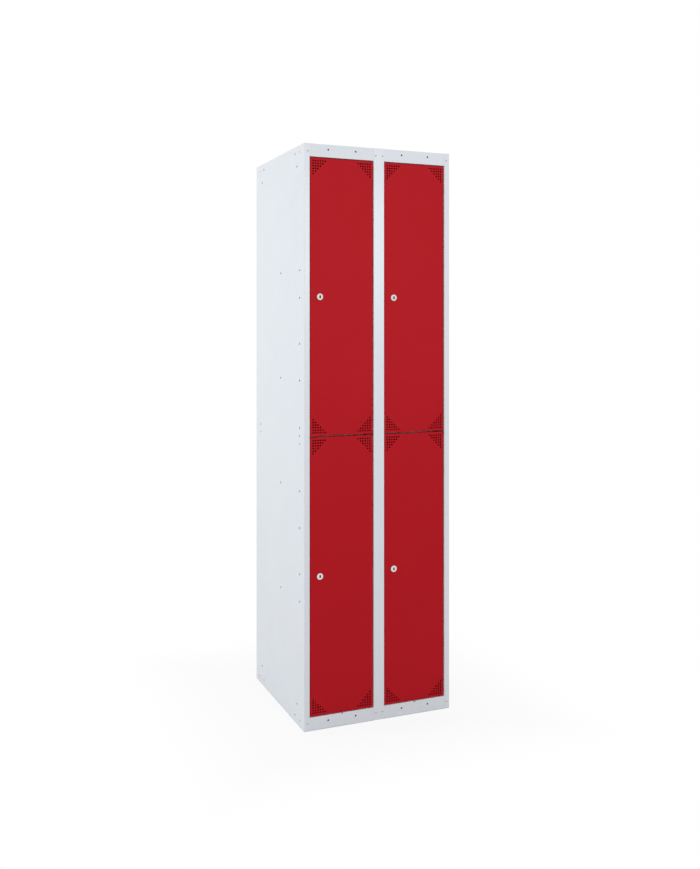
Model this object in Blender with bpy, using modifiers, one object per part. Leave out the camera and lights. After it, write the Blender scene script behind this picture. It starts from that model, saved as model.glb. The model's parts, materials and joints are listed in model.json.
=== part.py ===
"""Two-column, two-tier steel locker: folded-sheet carcass, four ventilated doors on pivot pins, cam locks.

Metres, +Z up. The doors face -Y. The origin is on the floor, under the middle of the carcass.
"""

import math

import bmesh
import bpy
from mathutils import Matrix, Vector

# Carcass
HEIGHT = 1.800
WIDTH = 0.500
DEPTH = 0.500
SHEET = 0.0008
BEND = 0.0007  # inside radius of a fold
BEND_STEPS = 2
SEAT = 0.0003  # gap between pieces that are fastened together
RUN = 0.0003  # radial clearance of a piece that turns

# Uprights: the front edge of each is folded into a stile with a return and a lip
STILE = 0.018
POST_WIDTH = 0.036
STILE_DEPTH = 0.020
STILE_LIP = 0.009
BACK_FLANGE = 0.015
REAR_STRIP = 0.040

# Roof and floor trays, and the shelves between the tiers
TRAY_HEIGHT = 0.040
TRAY_RETURN = 0.018
TRAY_FLANGE = 0.030
TRAY_HOLE_RADIUS = 0.003
TRAY_HOLE_SPACING = 0.092
TRAY_HOLE_DROP = 0.016
SHELF_FLANGE = 0.030  # at the sides and the back
SHELF_LIP = 0.014  # at the front

# Fixing holes in the uprights, for shelves that divide the height into two to five tiers
FIXING_RADIUS = 0.0035
CORNER_FIXING_RADIUS = 0.0027
FIXING_SPAN = 1.710  # the height that the shelves divide
FIXING_STEP = 0.025  # between the three front holes of the middle shelf
FIXING_FRONT = 0.042  # from the front edge
FIXING_MIDDLE = 0.227  # from the front edge
FIXING_REAR = 0.052  # from the back edge
CORNER_FIXINGS = ((0.088, 0.021), (0.068, 0.063))  # from the front or back edge, and from the end
HOLE_SIDES = 6

# Screws through the stiles into the trays
SCREW_RADIUS = 0.0016
SCREW_HEAD_RADIUS = 0.0032
SCREW_HEAD = 0.0012
SCREW_LENGTH = 0.006
SCREW_INSET = 0.010  # from the end of the tray
SCREW_RISE = 0.024  # from the nearer end of the upright

# Doors
DOOR_SHEET = 0.0010
DOOR_DEPTH = 0.016
DOOR_LIP = 0.012
DOOR_RECESS = 0.003
DOOR_GAP = 0.002  # to the stiles, header and plinth
DOOR_SPLIT = 0.004  # between the upper and the lower door
VENT_RADIUS = 0.0026
VENT_PITCH = 0.008
VENT_MARGIN = 0.010
VENT_ROWS = 6

# Pivot hinges
PIVOT_DEPTH = 0.006  # axis behind the door's face
SWING = 0.0005  # least gap to the stile while the door turns
PIN_RADIUS = 0.0025
PIN_COLLAR_RADIUS = 0.0045
PIN_HEAD = 0.0016
PIN_REACH = 0.006
BRACKET_SHEET = 0.0016
BRACKET_WIDTH = 0.022
BRACKET_DROP = 0.013
BRACKET_NOSE = 0.005  # ear in front of the pin's axis
BRACKET_CLEAR = 0.001  # behind the turning door

# Cam locks
LOCK_INSET = 0.032  # axis from the door's free edge
BARREL_RADIUS = 0.008
RIM_LIP = 0.0022
RIM_HEIGHT = 0.0025
NUT_WALL = 0.0022
NUT_HEIGHT = 0.0035
PLUG_RADIUS = 0.0055
PLUG_LIP = 0.0015
PLUG_HEAD = 0.0014
KEYWAY_WIDTH = 0.0024
KEYWAY_HEIGHT = 0.008
KEYWAY_DEPTH = 0.010
TAIL = 0.006  # square end of the plug that drives the cam
CAM_SHEET = 0.002
CAM_WIDTH = 0.014
CAM_OVERLAP = 0.008  # of the turned cam behind the stile
CAM_CLEAR = 0.0015
CAM_CHAMFER = 0.003
CAM_SCREW_RADIUS = 0.0015
CAM_SCREW_LENGTH = 0.006
CAM_HEAD_RADIUS = 0.0052
CAM_HEAD = 0.002

ROUND_STEPS = 10
LOCK_STEPS = 16
CUT = 0.002  # how far a cutter runs past what it cuts

# Planes and places that several pieces share
FRONT = -DEPTH / 2
BACK = DEPTH / 2
MIDDLE = HEIGHT / 2
TRAY_FRONT = FRONT + SHEET + SEAT
PANEL_BACK = BACK - SHEET - SEAT
TRAY_BACK = PANEL_BACK - SHEET - SEAT
BAY_WIDTH = (WIDTH - 3 * SHEET) / 2 - 2 * BEND  # a tray's length, clear of the folds at its ends
BAY_CENTRE = (WIDTH / 2 - SHEET / 2) / 2
OPENING = WIDTH / 2 - STILE - POST_WIDTH / 2
OPENING_CENTRE = (POST_WIDTH / 2 + WIDTH / 2 - STILE) / 2
DOOR_WIDTH = OPENING - 2 * DOOR_GAP
DOOR_HEIGHT = (HEIGHT - 2 * TRAY_HEIGHT - 2 * DOOR_GAP - DOOR_SPLIT) / 2
DOOR_FACE = FRONT + DOOR_RECESS
PIVOT_Y = DOOR_FACE + PIVOT_DEPTH
# The door's front corner turns past the stile with the gap SWING.
CORNER_ROOM = DOOR_GAP - SWING
PIVOT_INSET = (PIVOT_DEPTH**2 - CORNER_ROOM**2) / (2 * CORNER_ROOM)
SWING_BACK = PIVOT_Y + math.hypot(PIVOT_INSET, DOOR_DEPTH - PIVOT_DEPTH)
SHELF_FRONT = SWING_BACK + BRACKET_CLEAR + BRACKET_SHEET + SEAT
# Behind the door's face, along the lock's axis
CAM_PLACE = max(STILE_DEPTH, DOOR_RECESS + DOOR_DEPTH) + CAM_CLEAR - DOOR_RECESS
CAM_LENGTH = LOCK_INSET + DOOR_GAP + CAM_OVERLAP
RIM_FACE = SEAT + RIM_HEIGHT

SIDES = {"left": -1, "right": 1}
TIERS = {"lower": TRAY_HEIGHT + DOOR_GAP, "upper": MIDDLE + DOOR_SPLIT / 2}

# A folded line drawn in x and y stands as a profile in y and z, drawn out along x.
ACROSS = (math.pi / 2, 0, math.pi / 2)
# A turned shape or a flat outline made along z points its +z out of the locker's front.
FORWARD = (math.pi / 2, 0, 0)


def linear(code):
    """A hex sRGB colour as linear RGBA."""
    channels = [int(code[i : i + 2], 16) / 255 for i in (1, 3, 5)]
    return [c / 12.92 if c <= 0.04045 else ((c + 0.055) / 1.055) ** 2.4 for c in channels] + [1]


def finish(name, code, roughness, metallic):
    material = bpy.data.materials.new(name)
    material.use_nodes = True
    shader = material.node_tree.nodes["Principled BSDF"]
    shader.inputs["Base Color"].default_value = linear(code)
    shader.inputs["Roughness"].default_value = roughness
    shader.inputs["Metallic"].default_value = metallic
    return material


def collection(name):
    group = bpy.data.collections.new(name)
    bpy.context.scene.collection.children.link(group)
    return group


for old in list(bpy.data.objects):
    bpy.data.objects.remove(old, do_unlink=True)

PARTS = collection("two_door_locker")
CUTTERS = collection("two_door_locker_cutters")
GREY = finish("grey_powder_coat", "#DDE0E4", 0.45, 0.0)
RED = finish("red_powder_coat", "#AE1D25", 0.40, 0.0)
NICKEL = finish("nickel_plate", "#C9C8C4", 0.25, 1.0)
ZINC = finish("zinc_plate", "#A9ABAD", 0.40, 1.0)
BLACK = finish("black_oxide", "#2B2C2E", 0.50, 1.0)


def place(name, data, group, parent=None, at=(0, 0, 0), turn=(0, 0, 0)):
    thing = bpy.data.objects.new(name, data)
    group.objects.link(thing)
    thing.parent = parent
    thing.location = at
    thing.rotation_euler = turn
    return thing


def part(name, data, material, **where):
    data.materials.append(material)
    return place(name, data, PARTS, **where)


def mesh_of(name, bm):
    mesh = bpy.data.meshes.new(name)
    bm.to_mesh(mesh)
    bm.free()
    return mesh


def add_box(bm, low, high):
    low, high = Vector(low), Vector(high)
    size = Matrix.Diagonal((*(high - low), 1))
    bmesh.ops.create_cube(bm, size=1, matrix=Matrix.Translation((low + high) / 2) @ size)


def add_prism(bm, at, radius, length, along, sides):
    """A straight prism with its middle at a point."""
    turn = {"x": Matrix.Rotation(math.pi / 2, 4, "Y"), "y": Matrix.Rotation(math.pi / 2, 4, "X")}
    bmesh.ops.create_cone(
        bm, cap_ends=True, segments=sides, radius1=radius, radius2=radius, depth=length,
        matrix=Matrix.Translation(at) @ turn.get(along, Matrix.Identity(4)),
    )


def round_hole(radius, sides):
    """The corner radius of a hole whose flats still clear a round of this radius."""
    return (radius + RUN) / math.cos(math.pi / sides)


def combine(target, bm, label, operation, **where):
    """Cut a shape from the target, or join it on."""
    tool = place(f"{target.name}_{label}", mesh_of(label, bm), CUTTERS, **where)
    tool.hide_render = True
    tool.display_type = "WIRE"
    boolean = target.modifiers.new(label, "BOOLEAN")
    boolean.operation = operation
    boolean.object = tool


def folded_line(corners, radius):
    """The line through square corners, each rounded to an arc."""
    points = [Vector(corners[0])]
    for before, corner, after in zip(corners, corners[1:], corners[2:]):
        inward = (Vector(before) - Vector(corner)).normalized()
        onward = (Vector(after) - Vector(corner)).normalized()
        centre = Vector(corner) + radius * (inward + onward)
        for step in range(BEND_STEPS + 1):
            turn = step / BEND_STEPS * math.pi / 2
            points.append(centre - radius * (onward * math.cos(turn) + inward * math.sin(turn)))
    return points + [Vector(corners[-1])]


def draw_out(bm, edges, by):
    """Pull edges out into faces. It returns the edges at the far side."""
    drawn = bmesh.ops.extrude_edge_only(bm, edges=edges)["geom"]
    moved = [item for item in drawn if isinstance(item, bmesh.types.BMVert)]
    bmesh.ops.translate(bm, verts=moved, vec=by)
    return [edge for edge in bm.edges if all(vert in moved for vert in edge.verts)]


def thicken(sheet, thickness):
    solid = sheet.modifiers.new("sheet", "SOLIDIFY")
    solid.thickness = thickness
    solid.offset = -1
    solid.use_even_offset = True
    solid.use_quality_normals = True


def folded_sheet(name, corners, length, material, thickness=SHEET, side_flange=0, **where):
    """A sheet folded along a line and drawn out along z. Its metal lies to the left of the line.

    A side flange turns the two ends of the line's longest stretch over to its left.
    """
    bm = bmesh.new()
    line = [bm.verts.new((*point, 0)) for point in folded_line(corners, BEND + thickness)]
    edges = [bm.edges.new(pair) for pair in zip(line, line[1:])]
    near = max(edges, key=lambda edge: edge.calc_length())
    far = max(draw_out(bm, edges, (0, 0, length)), key=lambda edge: edge.calc_length())
    if side_flange:
        ahead = (near.verts[1].co - near.verts[0].co).normalized()
        for root in (near, far):
            draw_out(bm, [root], Vector((-ahead.y, ahead.x, 0)) * side_flange)
    bmesh.ops.recalc_face_normals(bm, faces=bm.faces)
    sheet = part(name, mesh_of(name, bm), material, **where)
    thicken(sheet, thickness)
    return sheet


def turned(name, profile, steps, material, ring=False, **where):
    """A profile of (radius, height), from the top down its outside, turned about z."""
    bm = bmesh.new()
    line = [bm.verts.new((radius, 0, height)) for radius, height in profile]
    for pair in zip(line, line[1:] + line[:1] if ring else line[1:]):
        bm.edges.new(pair)
    piece = part(name, mesh_of(name, bm), material, **where)
    screw = piece.modifiers.new("turn", "SCREW")
    screw.steps = screw.render_steps = steps
    screw.use_merge_vertices = True
    screw.merge_threshold = 0.00001
    return piece


def shelf_fixings():
    """Depth and height of each hole in an upright that a shelf can use."""
    levels = {}
    for tiers in (2, 3, 4, 5):
        levels[tiers] = [MIDDLE + (k / tiers - 0.5) * FIXING_SPAN for k in range(1, tiers)]
    front = sorted({round(level, 6) for row in levels.values() for level in row})
    front += [MIDDLE - FIXING_STEP, MIDDLE + FIXING_STEP]
    places = [(FRONT + FIXING_FRONT, level) for level in front]
    places += [(FRONT + FIXING_MIDDLE, level) for level in levels[5]]
    places.append((BACK - FIXING_REAR, MIDDLE))
    return places


def corner_fixings():
    """Depth and height of each hole at the corners of an upright."""
    places = []
    for inset, rise in CORNER_FIXINGS:
        places += [(y, z) for y in (FRONT + inset, BACK - inset) for z in (rise, HEIGHT - rise)]
    return places


def cut_fixings(upright, x):
    bm = bmesh.new()
    for y, z in shelf_fixings():
        add_prism(bm, (x, y, z), FIXING_RADIUS, SHEET + 2 * CUT, "x", HOLE_SIDES)
    for y, z in corner_fixings():
        add_prism(bm, (x, y, z), CORNER_FIXING_RADIUS, SHEET + 2 * CUT, "x", HOLE_SIDES)
    combine(upright, bm, "fixings", "DIFFERENCE")


def cut_stile(upright, screws, low, high):
    """Screw holes at both ends of a stile, and its return and lip cut away between two x values there."""
    holes = bmesh.new()
    ends = bmesh.new()
    for x in screws:
        for z in (SCREW_RISE, HEIGHT - SCREW_RISE):
            radius = round_hole(SCREW_RADIUS, HOLE_SIDES)
            add_prism(holes, (x, FRONT, z), radius, 2 * SHEET + CUT, "y", HOLE_SIDES)
    inner = FRONT + SHEET + SEAT / 3
    behind = FRONT + STILE_DEPTH + CUT
    add_box(ends, (low, inner, -CUT), (high, behind, TRAY_HEIGHT + SEAT))
    add_box(ends, (low, inner, HEIGHT - TRAY_HEIGHT - SEAT), (high, behind, HEIGHT + CUT))
    combine(upright, ends, "ends", "DIFFERENCE")
    combine(upright, holes, "screw_holes", "DIFFERENCE")


def bay_screws(sign):
    """The x values of the screws at the outer and inner end of a column's trays."""
    inset = BAY_WIDTH / 2 - SCREW_INSET
    return sign * (BAY_CENTRE + inset), sign * (BAY_CENTRE - inset)


def side_panel(side, sign):
    edge = sign * WIDTH / 2
    stile = edge - sign * STILE
    corners = [
        (edge - sign * BACK_FLANGE, BACK),
        (edge, BACK),
        (edge, FRONT),
        (stile, FRONT),
        (stile, FRONT + STILE_DEPTH),
        (stile + sign * STILE_LIP, FRONT + STILE_DEPTH),
    ]
    panel = folded_sheet(f"{side}_side_panel", corners[::-sign], HEIGHT, GREY)
    low, high = sorted((stile + sign * (STILE_LIP + CUT), stile - sign * CUT))
    cut_stile(panel, bay_screws(sign)[:1], low, high)
    cut_fixings(panel, edge - sign * SHEET / 2)


def centre_uprights():
    half = POST_WIDTH / 2
    lip = FRONT + STILE_DEPTH
    corners = [(-half + STILE_LIP, lip), (-half, lip), (-half, FRONT)]
    corners += [(-x, y) for x, y in reversed(corners)]
    post = folded_sheet("centre_post", corners, HEIGHT, GREY)
    screws = [bay_screws(sign)[1] for sign in SIDES.values()]
    cut_stile(post, screws, -half - CUT, half + CUT)

    bm = bmesh.new()
    add_box(bm, (-SHEET / 2, TRAY_FRONT, 0), (SHEET / 2, PANEL_BACK, HEIGHT))
    partition = part("centre_partition", mesh_of("centre_partition", bm), GREY)
    cut_fixings(partition, 0)

    bm = bmesh.new()
    add_box(bm, (-REAR_STRIP / 2, BACK - SHEET, 0), (REAR_STRIP / 2, BACK, HEIGHT))
    part("centre_rear_strip", mesh_of("centre_rear_strip", bm), GREY)


def back_panel(side, sign):
    bm = bmesh.new()
    centre = sign * BAY_CENTRE
    low = (centre - BAY_WIDTH / 2, PANEL_BACK - SHEET, 0)
    add_box(bm, low, (centre + BAY_WIDTH / 2, PANEL_BACK, HEIGHT))
    part(f"{side}_back_panel", mesh_of("back_panel", bm), GREY)


def pivot_x(sign):
    """Each door hangs on the right of its opening."""
    return sign * OPENING_CENTRE + OPENING / 2 - DOOR_GAP - PIVOT_INSET


def tray(name, sign, top, pivot_level):
    """A roof or floor tray with the header or plinth as its front flange, and the hinge pin's hole."""
    bottom = top - TRAY_HEIGHT
    corners = [
        (TRAY_BACK, top - TRAY_FLANGE),
        (TRAY_BACK, top),
        (TRAY_FRONT, top),
        (TRAY_FRONT, bottom),
        (TRAY_FRONT + TRAY_RETURN, bottom),
    ]
    where = {"at": (sign * BAY_CENTRE - BAY_WIDTH / 2, 0, 0), "turn": ACROSS}
    piece = folded_sheet(name, corners, BAY_WIDTH, GREY, side_flange=TRAY_FLANGE, **where)
    holes = bmesh.new()
    for offset in (-TRAY_HOLE_SPACING / 2, TRAY_HOLE_SPACING / 2):
        at = (sign * OPENING_CENTRE + offset, TRAY_FRONT, top - TRAY_HOLE_DROP)
        add_prism(holes, at, TRAY_HOLE_RADIUS, 2 * SHEET + CUT, "y", HOLE_SIDES)
    screw_level = SCREW_RISE if top < MIDDLE else HEIGHT - SCREW_RISE
    for x in bay_screws(sign):
        radius = round_hole(SCREW_RADIUS, HOLE_SIDES)
        add_prism(holes, (x, TRAY_FRONT, screw_level), radius, 2 * SHEET + CUT, "y", HOLE_SIDES)
    at = (pivot_x(sign), PIVOT_Y, pivot_level)
    add_prism(holes, at, round_hole(PIN_RADIUS, ROUND_STEPS), 2 * SHEET + CUT, "z", ROUND_STEPS)
    for y, z in corner_fixings():
        if top - TRAY_FLANGE < z < top:
            at = (sign * BAY_CENTRE, y, z)
            add_prism(holes, at, CORNER_FIXING_RADIUS, BAY_WIDTH + CUT, "x", HOLE_SIDES)
    combine(piece, holes, "holes", "DIFFERENCE")


def middle_shelf(side, sign):
    corners = [
        (TRAY_BACK, MIDDLE - SHELF_FLANGE),
        (TRAY_BACK, MIDDLE),
        (SHELF_FRONT, MIDDLE),
        (SHELF_FRONT, MIDDLE - SHELF_LIP),
    ]
    where = {"at": (sign * BAY_CENTRE - BAY_WIDTH / 2, 0, 0), "turn": ACROSS}
    name = f"{side}_middle_shelf"
    folded_sheet(name, corners, BAY_WIDTH, GREY, side_flange=SHELF_FLANGE, **where)


def hinge_bracket(side, sign):
    """An angle on the shelf's front lip, whose ear lies in the gap between the two doors."""
    top = MIDDLE + BRACKET_SHEET / 2
    leg = SHELF_FRONT - SEAT
    corners = [(leg, top - BRACKET_DROP), (leg, top), (PIVOT_Y - BRACKET_NOSE, top)]
    at = (pivot_x(sign) - BRACKET_WIDTH / 2, 0, 0)
    bracket = folded_sheet(
        f"{side}_hinge_bracket", corners, BRACKET_WIDTH, BLACK, thickness=BRACKET_SHEET, at=at, turn=ACROSS
    )
    hole = bmesh.new()
    at = (pivot_x(sign), PIVOT_Y, MIDDLE)
    add_prism(hole, at, round_hole(PIN_RADIUS, ROUND_STEPS), BRACKET_SHEET + CUT, "z", ROUND_STEPS)
    combine(bracket, hole, "hole", "DIFFERENCE")


def hinge_pin(name, sign, top, collar_top, collar_bottom, bottom):
    """A pin with a collar, or a head where the collar is at its top."""
    profile = [(0, top), (PIN_RADIUS, top), (PIN_RADIUS, collar_top)] if top > collar_top else [(0, top)]
    profile += [(PIN_COLLAR_RADIUS, collar_top), (PIN_COLLAR_RADIUS, collar_bottom)]
    profile += [(PIN_RADIUS, collar_bottom), (PIN_RADIUS, bottom), (0, bottom)]
    turned(name, profile, ROUND_STEPS, BLACK, at=(pivot_x(sign), PIVOT_Y, 0))


def hinge_pins(side, sign):
    into_door = DOOR_SHEET + PIN_REACH
    lintel = HEIGHT - TRAY_HEIGHT
    head = lintel + SHEET + SEAT
    name = f"{side}_top_hinge_pin"
    hinge_pin(name, sign, head + PIN_HEAD, head + PIN_HEAD, head, lintel - DOOR_GAP - into_door)
    split = DOOR_SPLIT / 2
    collar = (MIDDLE + split - SEAT, MIDDLE + BRACKET_SHEET / 2 + SEAT)
    name = f"{side}_middle_hinge_pin"
    hinge_pin(name, sign, MIDDLE + split + into_door, *collar, MIDDLE - split - into_door)
    collar = (TRAY_HEIGHT + DOOR_GAP - SEAT, TRAY_HEIGHT + SEAT)
    name = f"{side}_bottom_hinge_pin"
    hinge_pin(name, sign, TRAY_HEIGHT + DOOR_GAP + into_door, *collar, TRAY_HEIGHT - SHEET - PIN_HEAD)


def stile_screws(side, sign):
    profile = [
        (0, SEAT + SCREW_HEAD),
        (SCREW_HEAD_RADIUS, SEAT + SCREW_HEAD),
        (SCREW_HEAD_RADIUS, SEAT),
        (SCREW_RADIUS, SEAT),
        (SCREW_RADIUS, SEAT - SCREW_LENGTH),
        (0, SEAT - SCREW_LENGTH),
    ]
    for upright, x in zip(("stile", "post"), bay_screws(sign)):
        for end, z in (("top", HEIGHT - SCREW_RISE), ("bottom", SCREW_RISE)):
            name = f"{side}_{upright}_{end}_screw"
            turned(name, profile, ROUND_STEPS, GREY, at=(x, FRONT, z), turn=FORWARD)


def door_vents():
    """The places of the holes at a door's corners, in rows that lose one hole each."""
    for row in range(VENT_ROWS):
        for column in range(VENT_ROWS - row):
            across = VENT_MARGIN + column * VENT_PITCH
            up = VENT_MARGIN + row * VENT_PITCH
            for x in (across, DOOR_WIDTH - across):
                for z in (up, DOOR_HEIGHT - up):
                    yield x, z


def door(name, hinge):
    """A pan with its edges folded back and in. Its place is given from the hinge axis."""
    left = PIVOT_INSET - DOOR_WIDTH
    bm = bmesh.new()
    add_box(bm, (left, -PIVOT_DEPTH, 0), (PIVOT_INSET, DOOR_DEPTH - PIVOT_DEPTH, DOOR_HEIGHT))
    rear = [face for face in bm.faces if face.normal.y > 0.5]
    bmesh.ops.inset_region(bm, faces=rear, thickness=DOOR_LIP, use_even_offset=True)
    bmesh.ops.delete(bm, geom=rear, context="FACES")
    pan = part(name, mesh_of(name, bm), RED, parent=hinge)
    bevel = pan.modifiers.new("folds", "BEVEL")
    bevel.width = BEND + DOOR_SHEET
    bevel.segments = BEND_STEPS
    thicken(pan, DOOR_SHEET)

    holes = bmesh.new()
    for x, z in door_vents():
        add_prism(holes, (left + x, -PIVOT_DEPTH, z), VENT_RADIUS, 2 * DOOR_SHEET + CUT, "y", HOLE_SIDES)
    at = (left + LOCK_INSET, -PIVOT_DEPTH, DOOR_HEIGHT / 2)
    add_prism(holes, at, round_hole(BARREL_RADIUS, LOCK_STEPS), 2 * DOOR_SHEET + CUT, "y", LOCK_STEPS)
    pin_hole = round_hole(PIN_RADIUS, ROUND_STEPS)
    for z in (0, DOOR_HEIGHT):
        add_prism(holes, (0, 0, z), pin_hole, 2 * DOOR_SHEET + CUT, "z", ROUND_STEPS)
    combine(pan, holes, "holes", "DIFFERENCE", parent=hinge)


def lock_body(door_name, hinge, at):
    """The housing through the door and the nut behind it."""
    bore = round_hole(PLUG_RADIUS, LOCK_STEPS)
    mouth = round_hole(PLUG_RADIUS + PLUG_LIP, LOCK_STEPS)
    step = RIM_FACE - PLUG_HEAD - RUN
    tail = SEAT - CAM_PLACE
    rim = BARREL_RADIUS + RIM_LIP
    profile = [
        (mouth, RIM_FACE),
        (rim, RIM_FACE),
        (rim, SEAT),
        (BARREL_RADIUS, SEAT),
        (BARREL_RADIUS, tail),
        (bore, tail),
        (bore, step),
        (mouth, step),
    ]
    name = f"{door_name}_lock_housing"
    turned(name, profile, LOCK_STEPS, NICKEL, ring=True, parent=hinge, at=at, turn=FORWARD)

    inner = round_hole(BARREL_RADIUS, LOCK_STEPS)
    nut_radius = (inner + NUT_WALL) / math.cos(math.pi / 6)
    bm = bmesh.new()
    middle = -DOOR_SHEET - SEAT - NUT_HEIGHT / 2
    add_prism(bm, (0, 0, middle), nut_radius, NUT_HEIGHT, "z", 6)
    where = {"parent": hinge, "at": at, "turn": FORWARD}
    nut = part(f"{door_name}_lock_nut", mesh_of("lock_nut", bm), ZINC, **where)
    hole = bmesh.new()
    add_prism(hole, (0, 0, middle), inner, NUT_HEIGHT + CUT, "z", LOCK_STEPS)
    combine(nut, hole, "hole", "DIFFERENCE", **where)


def lock_plug(door_name, axis):
    """The turning core: a keyway in its head, a square tail with a screw hole at its other end."""
    body_end = SEAT - CAM_PLACE
    tail_end = SEAT - CAM_PLACE - CAM_SHEET
    head = PLUG_RADIUS + PLUG_LIP
    profile = [
        (0, RIM_FACE),
        (head, RIM_FACE),
        (head, RIM_FACE - PLUG_HEAD),
        (PLUG_RADIUS, RIM_FACE - PLUG_HEAD),
        (PLUG_RADIUS, body_end),
        (0, body_end),
    ]
    where = {"parent": axis, "turn": FORWARD}
    plug = turned(f"{door_name}_lock_plug", profile, LOCK_STEPS, NICKEL, **where)
    tail = bmesh.new()
    add_box(tail, (-TAIL / 2, -TAIL / 2, tail_end), (TAIL / 2, TAIL / 2, body_end + CUT))
    combine(plug, tail, "tail", "UNION", **where)
    keyway = bmesh.new()
    corner = (KEYWAY_WIDTH / 2, KEYWAY_HEIGHT / 2, RIM_FACE + CUT)
    add_box(keyway, (-corner[0], -corner[1], RIM_FACE - KEYWAY_DEPTH), corner)
    combine(plug, keyway, "keyway", "DIFFERENCE", **where)
    hole = bmesh.new()
    depth = CAM_SCREW_LENGTH + 2 * CUT
    radius = round_hole(CAM_SCREW_RADIUS, ROUND_STEPS)
    add_prism(hole, (0, 0, tail_end), radius, 2 * depth, "z", ROUND_STEPS)
    combine(plug, hole, "screw_hole", "DIFFERENCE", **where)


def lock_cam(door_name, axis):
    """The cam hangs down when unlocked, and a quarter turn puts its end behind the stile."""
    half = CAM_WIDTH / 2
    outline = [(half, -CAM_LENGTH + CAM_CHAMFER)]
    for step in range(ROUND_STEPS // 2 + 1):
        turn = math.pi * step / (ROUND_STEPS // 2)
        outline.append((half * math.cos(turn), half * math.sin(turn)))
    outline += [(-half, -CAM_LENGTH + CAM_CHAMFER), (CAM_CHAMFER - half, -CAM_LENGTH)]
    outline.append((half - CAM_CHAMFER, -CAM_LENGTH))
    square = TAIL / 2 + RUN
    hole = [(square, square), (-square, square), (-square, -square), (square, -square)]
    curve = bpy.data.curves.new(f"{door_name}_lock_cam", "CURVE")
    curve.dimensions = "2D"
    curve.fill_mode = "BOTH"
    curve.extrude = CAM_SHEET / 2
    for points in (outline, hole):
        spline = curve.splines.new("POLY")
        spline.points.add(len(points) - 1)
        spline.use_cyclic_u = True
        for point, (x, y) in zip(spline.points, points):
            point.co = (x, y, 0, 1)
    at = (0, CAM_PLACE + CAM_SHEET / 2, 0)
    part(curve.name, curve, ZINC, parent=axis, at=at, turn=FORWARD)


def cam_screw(door_name, axis):
    seat = -CAM_PLACE - CAM_SHEET - SEAT
    profile = [
        (0, seat + CAM_SCREW_LENGTH),
        (CAM_SCREW_RADIUS, seat + CAM_SCREW_LENGTH),
        (CAM_SCREW_RADIUS, seat),
        (CAM_HEAD_RADIUS, seat),
        (CAM_HEAD_RADIUS, seat - CAM_HEAD),
        (0, seat - CAM_HEAD),
    ]
    turned(f"{door_name}_cam_screw", profile, ROUND_STEPS, ZINC, parent=axis, turn=FORWARD)


def door_set(side, sign, tier, bottom):
    """One door with its lock, on an empty at its hinge axis. The lock turns on an empty of its own."""
    name = f"{tier}_{side}"
    hinge = place(f"{name}_hinge_axis", None, PARTS, at=(pivot_x(sign), PIVOT_Y, bottom))
    door(f"{name}_door", hinge)
    at = (PIVOT_INSET - DOOR_WIDTH + LOCK_INSET, -PIVOT_DEPTH, DOOR_HEIGHT / 2)
    lock_body(name, hinge, at)
    axis = place(f"{name}_lock_axis", None, PARTS, parent=hinge, at=at)
    lock_plug(name, axis)
    lock_cam(name, axis)
    cam_screw(name, axis)


centre_uprights()
for side, sign in SIDES.items():
    side_panel(side, sign)
    back_panel(side, sign)
    tray(f"{side}_roof_tray", sign, HEIGHT, HEIGHT - TRAY_HEIGHT)
    tray(f"{side}_floor_tray", sign, TRAY_HEIGHT, TRAY_HEIGHT)
    middle_shelf(side, sign)
    hinge_bracket(side, sign)
    hinge_pins(side, sign)
    stile_screws(side, sign)
    for tier, bottom in TIERS.items():
        door_set(side, sign, tier, bottom)
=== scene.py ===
"""Looks of a steel locker nest: two columns of two red doors in a light grey carcass.

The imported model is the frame, in metres: the doors face -Y and the floor is at z 0. The folded sheets,
doors, locks and fastenings are drawn again here with round holes, rounded folds and real fastener shapes.
"""

import json
import math

import bmesh
import bpy
from mathutils import Matrix, Vector


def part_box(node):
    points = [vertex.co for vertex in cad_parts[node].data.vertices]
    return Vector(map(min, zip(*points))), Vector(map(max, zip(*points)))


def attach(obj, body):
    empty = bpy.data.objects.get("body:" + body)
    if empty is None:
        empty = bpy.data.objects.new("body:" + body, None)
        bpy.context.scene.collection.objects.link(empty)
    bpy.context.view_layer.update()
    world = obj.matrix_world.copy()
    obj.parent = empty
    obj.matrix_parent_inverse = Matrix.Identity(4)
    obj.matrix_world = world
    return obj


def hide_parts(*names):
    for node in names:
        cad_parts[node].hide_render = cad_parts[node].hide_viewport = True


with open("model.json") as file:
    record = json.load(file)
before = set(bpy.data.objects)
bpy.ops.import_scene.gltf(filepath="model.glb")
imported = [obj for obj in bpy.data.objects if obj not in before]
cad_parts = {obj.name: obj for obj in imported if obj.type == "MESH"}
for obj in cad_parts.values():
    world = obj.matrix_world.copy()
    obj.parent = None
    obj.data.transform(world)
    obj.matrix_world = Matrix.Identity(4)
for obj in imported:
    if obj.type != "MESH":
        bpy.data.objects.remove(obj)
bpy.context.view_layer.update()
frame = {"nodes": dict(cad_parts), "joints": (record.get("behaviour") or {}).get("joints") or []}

SIDES = {"left": -1, "right": 1}
TIERS = ("upper", "lower")
CARCASS = "carcass"

# Planes of the frame that several pieces share
SIDE_LOW, SIDE_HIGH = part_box("left_side_panel")
POST_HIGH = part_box("centre_post")[1]
DOOR_LOW, DOOR_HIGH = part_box("upper_left_door")
FRONT = SIDE_LOW.y
BACK = SIDE_HIGH.y
TOP = SIDE_HIGH.z
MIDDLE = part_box("left_middle_shelf")[1].z
HINGES = {joint["child"]: Vector(joint["pos_m"]) for joint in frame["joints"]}

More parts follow.
